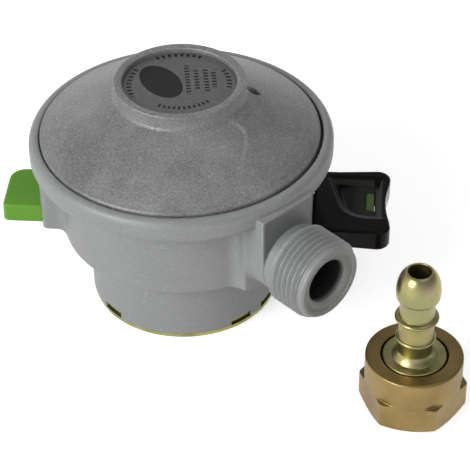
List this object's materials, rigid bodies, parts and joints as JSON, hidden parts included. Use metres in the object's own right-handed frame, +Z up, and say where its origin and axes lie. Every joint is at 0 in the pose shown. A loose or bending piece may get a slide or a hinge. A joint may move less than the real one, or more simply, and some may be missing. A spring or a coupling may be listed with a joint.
{
  "type": "clip-on gas regulator with hose nozzle",
  "caption": "Clip-on low-pressure gas regulator: round diaphragm housing, sliding lock with thumb knob, threaded outlet, and a union nut with barbed hose nozzle.",
  "frame": {"origin": "centre of the collar's lower end, on the surface that the regulator stands on", "axes": "+Z up along the round body's axis; +X along the locking slide, from the green tongue to the black knob; the outlet points 43 degrees from +X towards -Y"},
  "size_m": [0.1132, 0.0899, 0.0602],
  "materials": {
    "cast_grey": "smooth satin grey paint on die-cast zinc",
    "cast_bonnet": "fine speckled satin grey over die-cast zinc",
    "disc_grey": "satin grey disc with plain black print",
    "yellow_zinc": "yellow chromated zinc on steel",
    "nozzle_zinc": "turned steel, yellow chromated with faint iridescence",
    "zinc_steel": "bright zinc plated",
    "spring_steel": "drawn and ground steel",
    "brass": "turned brass",
    "nut_brass": "dull forged and turned brass",
    "green_plastic": "moulded leaf-green plastic, satin",
    "black_plastic": "polished black moulded plastic",
    "rubber_black": "matt black nitrile rubber"
  },
  "bodies": {
    "regulator": {"lower_body": "cast_grey", "guide_ring": "yellow_zinc", "bonnet": "cast_bonnet", "cover_disc": "disc_grey", "adjusting_screw": "brass", "main_spring": "spring_steel", "diaphragm": "rubber_black", "lever_pin": "spring_steel", "gas_jet": "brass", "chamber_floor": "cast_grey", "floor_seal": "rubber_black", "floor_ring": "spring_steel", "spigot_o_ring": "rubber_black", "detent_ball": "spring_steel", "detent_spring": "spring_steel"},
    "slide": {"lock_plate": "yellow_zinc", "plate_pins": "spring_steel", "release_tongue": "green_plastic", "slide_arm": "green_plastic", "knob": "black_plastic"},
    "spigot_unit": {"spigot": "brass", "spigot_seal": "rubber_black", "trunnion_pins": "spring_steel", "inlet_filter": "zinc_steel"},
    "diaphragm_unit": {"diaphragm_plate": "zinc_steel", "diaphragm_stem": "zinc_steel", "stem_nut": "brass"},
    "lever": {"valve_lever": "zinc_steel", "valve_pad": "rubber_black"},
    "fitting": {"union_nut": "nut_brass", "flat_seal": "rubber_black"},
    "nozzle": {"hose_nozzle": "nozzle_zinc"}
  },
  "joints": [
    {"name": "lock_slide", "type": "slide", "parent": "regulator", "child": "slide", "axis": [1, 0, 0], "range_m": [0, 0.008]},
    {"name": "spigot_slide", "type": "slide", "parent": "regulator", "child": "spigot_unit", "axis": [0, 0, 1], "range_m": [-0.002, 0]},
    {"name": "diaphragm_lift", "type": "slide", "parent": "regulator", "child": "diaphragm_unit", "axis": [0, 0, 1], "range_m": [-0.0012, 0.0012], "stiffness_N_per_m": 400, "deforming": ["main_spring", "diaphragm"]},
    {"name": "lever_turn", "type": "hinge", "parent": "regulator", "child": "lever", "pos_m": [0.009, 0, 0.0401], "axis": [0, 1, 0], "range_deg": [-8, 8]},
    {"name": "fitting_lift", "type": "slide", "parent": "regulator", "child": "fitting", "axis": [0, 0, 1], "range_m": [0, 0.05]},
    {"name": "nozzle_turn", "type": "hinge", "parent": "fitting", "child": "nozzle", "pos_m": [0.057, -0.0415, 0], "axis": [0, 0, 1], "continuous": true}
  ],
  "couplings": [
    {"joint": "spigot_slide", "follows": "lock_slide", "ratio": -0.25},
    {"joint": "lever_turn", "follows": "diaphragm_lift", "rad_per_m": 111.11}
  ]
}
